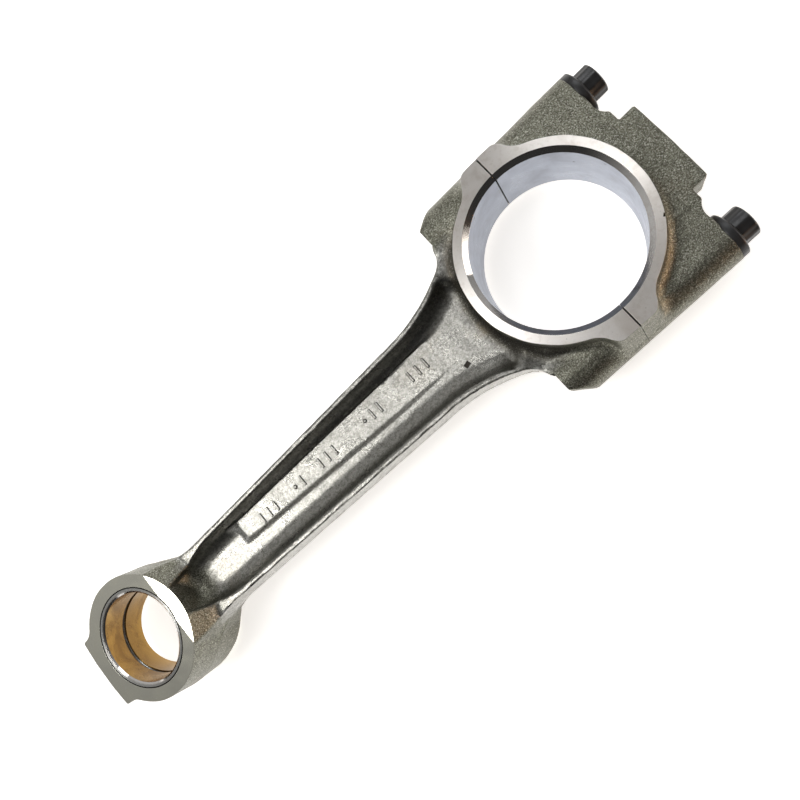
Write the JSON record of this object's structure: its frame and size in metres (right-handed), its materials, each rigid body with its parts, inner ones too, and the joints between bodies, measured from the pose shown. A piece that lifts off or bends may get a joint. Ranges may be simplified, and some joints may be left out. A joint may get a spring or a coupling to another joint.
{
  "type": "connecting rod",
  "caption": "Heavy diesel engine connecting rod: I-beam forging with a bolted bearing cap, two twelve-point cap screws and a bronze-bushed wedge small end.",
  "frame": {"origin": "centre of the big-end housing bore, at half its width, on the parting plane of the cap", "axes": "+X along the rod from the big end to the small end; +Z along both bores; +Y across the rod, towards the right-hand cap screw"},
  "size_m": [0.4137, 0.1268, 0.057],
  "materials": {
    "forged_steel": "shot-peened forging skin with bright machined faces",
    "ground_steel": "ground",
    "black_oxide": "black oxide, oiled",
    "bronze": "fine-bored bearing bronze"
  },
  "bodies": {
    "rod": {"rod_forging": "forged_steel", "front_bush_back": "ground_steel", "front_bush_lining": "bronze", "rear_bush_back": "ground_steel", "rear_bush_lining": "bronze"},
    "cap": {"bearing_cap": "forged_steel", "dowel_left": "ground_steel", "dowel_right": "ground_steel"},
    "screw_left": {"cap_screw_left": "black_oxide"},
    "screw_right": {"cap_screw_right": "black_oxide"}
  },
  "joints": [
    {"name": "cap_lift", "type": "slide", "parent": "rod", "child": "cap", "axis": [-1, 0, 0], "range_m": [0, 0.06]},
    {"name": "screw_left_out", "type": "slide", "parent": "cap", "child": "screw_left", "axis": [-1, 0, 0], "range_m": [0, 0.1]},
    {"name": "screw_right_out", "type": "slide", "parent": "cap", "child": "screw_right", "axis": [-1, 0, 0], "range_m": [0, 0.1]}
  ]
}
